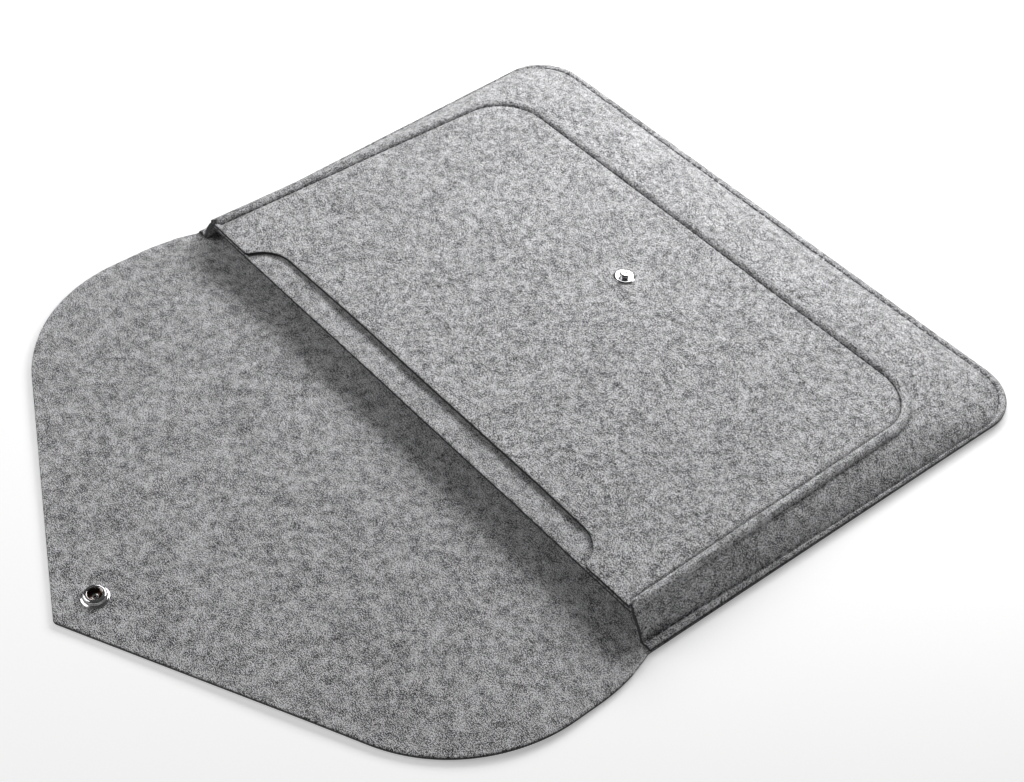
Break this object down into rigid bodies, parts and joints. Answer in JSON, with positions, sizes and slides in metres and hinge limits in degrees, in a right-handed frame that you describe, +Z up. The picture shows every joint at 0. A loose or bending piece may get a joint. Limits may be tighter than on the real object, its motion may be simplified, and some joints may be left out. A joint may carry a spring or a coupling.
{
  "type": "laptop sleeve",
  "caption": "Felt laptop sleeve with a sewn side band, a front pocket with a finger scoop, and a pointed flap that folds over and snaps shut.",
  "frame": {"origin": "middle of the mouth, on the plane that the sleeve rests on, 1 mm inside the first fold", "axes": "+X along the mouth, +Y into the sleeve, +Z up out of the front"},
  "size_m": [0.344, 0.424, 0.0194],
  "materials": {
    "felt_body": "heather grey wool felt, matt and fibrous",
    "felt_band": "heather grey wool felt, matt and fibrous",
    "felt_front": "heather grey wool felt, matt and fibrous",
    "thread": "dark grey polyester thread",
    "snap_chrome": "polished chrome plate",
    "snap_steel": "plain spring steel, slightly dull"
  },
  "bodies": {
    "sleeve": {"back_panel": "felt_body", "gusset": "felt_band", "front_panel": "felt_front", "pocket_panel": "felt_front", "ridge_thread": "thread", "base_thread": "thread", "snap_stud": "snap_chrome", "stud_rivet": "snap_steel"},
    "spine": {"flap_spine": "felt_body"},
    "flap": {"flap_panel": "felt_body", "snap_socket": "snap_chrome", "snap_spring": "snap_steel", "snap_cap": "snap_chrome"}
  },
  "joints": [
    {"name": "spine_fold", "type": "hinge", "parent": "sleeve", "child": "spine", "pos_m": [0, -0.001, 0.002], "axis": [-1, 0, 0], "range_deg": [0, 90]},
    {"name": "flap_fold", "type": "hinge", "parent": "spine", "child": "flap", "pos_m": [0, -0.0225, 0.002], "axis": [-1, 0, 0], "range_deg": [0, 92.15]}
  ],
  "couplings": [
    {"joint": "flap_fold", "follows": "spine_fold", "ratio": 1.0239}
  ]
}
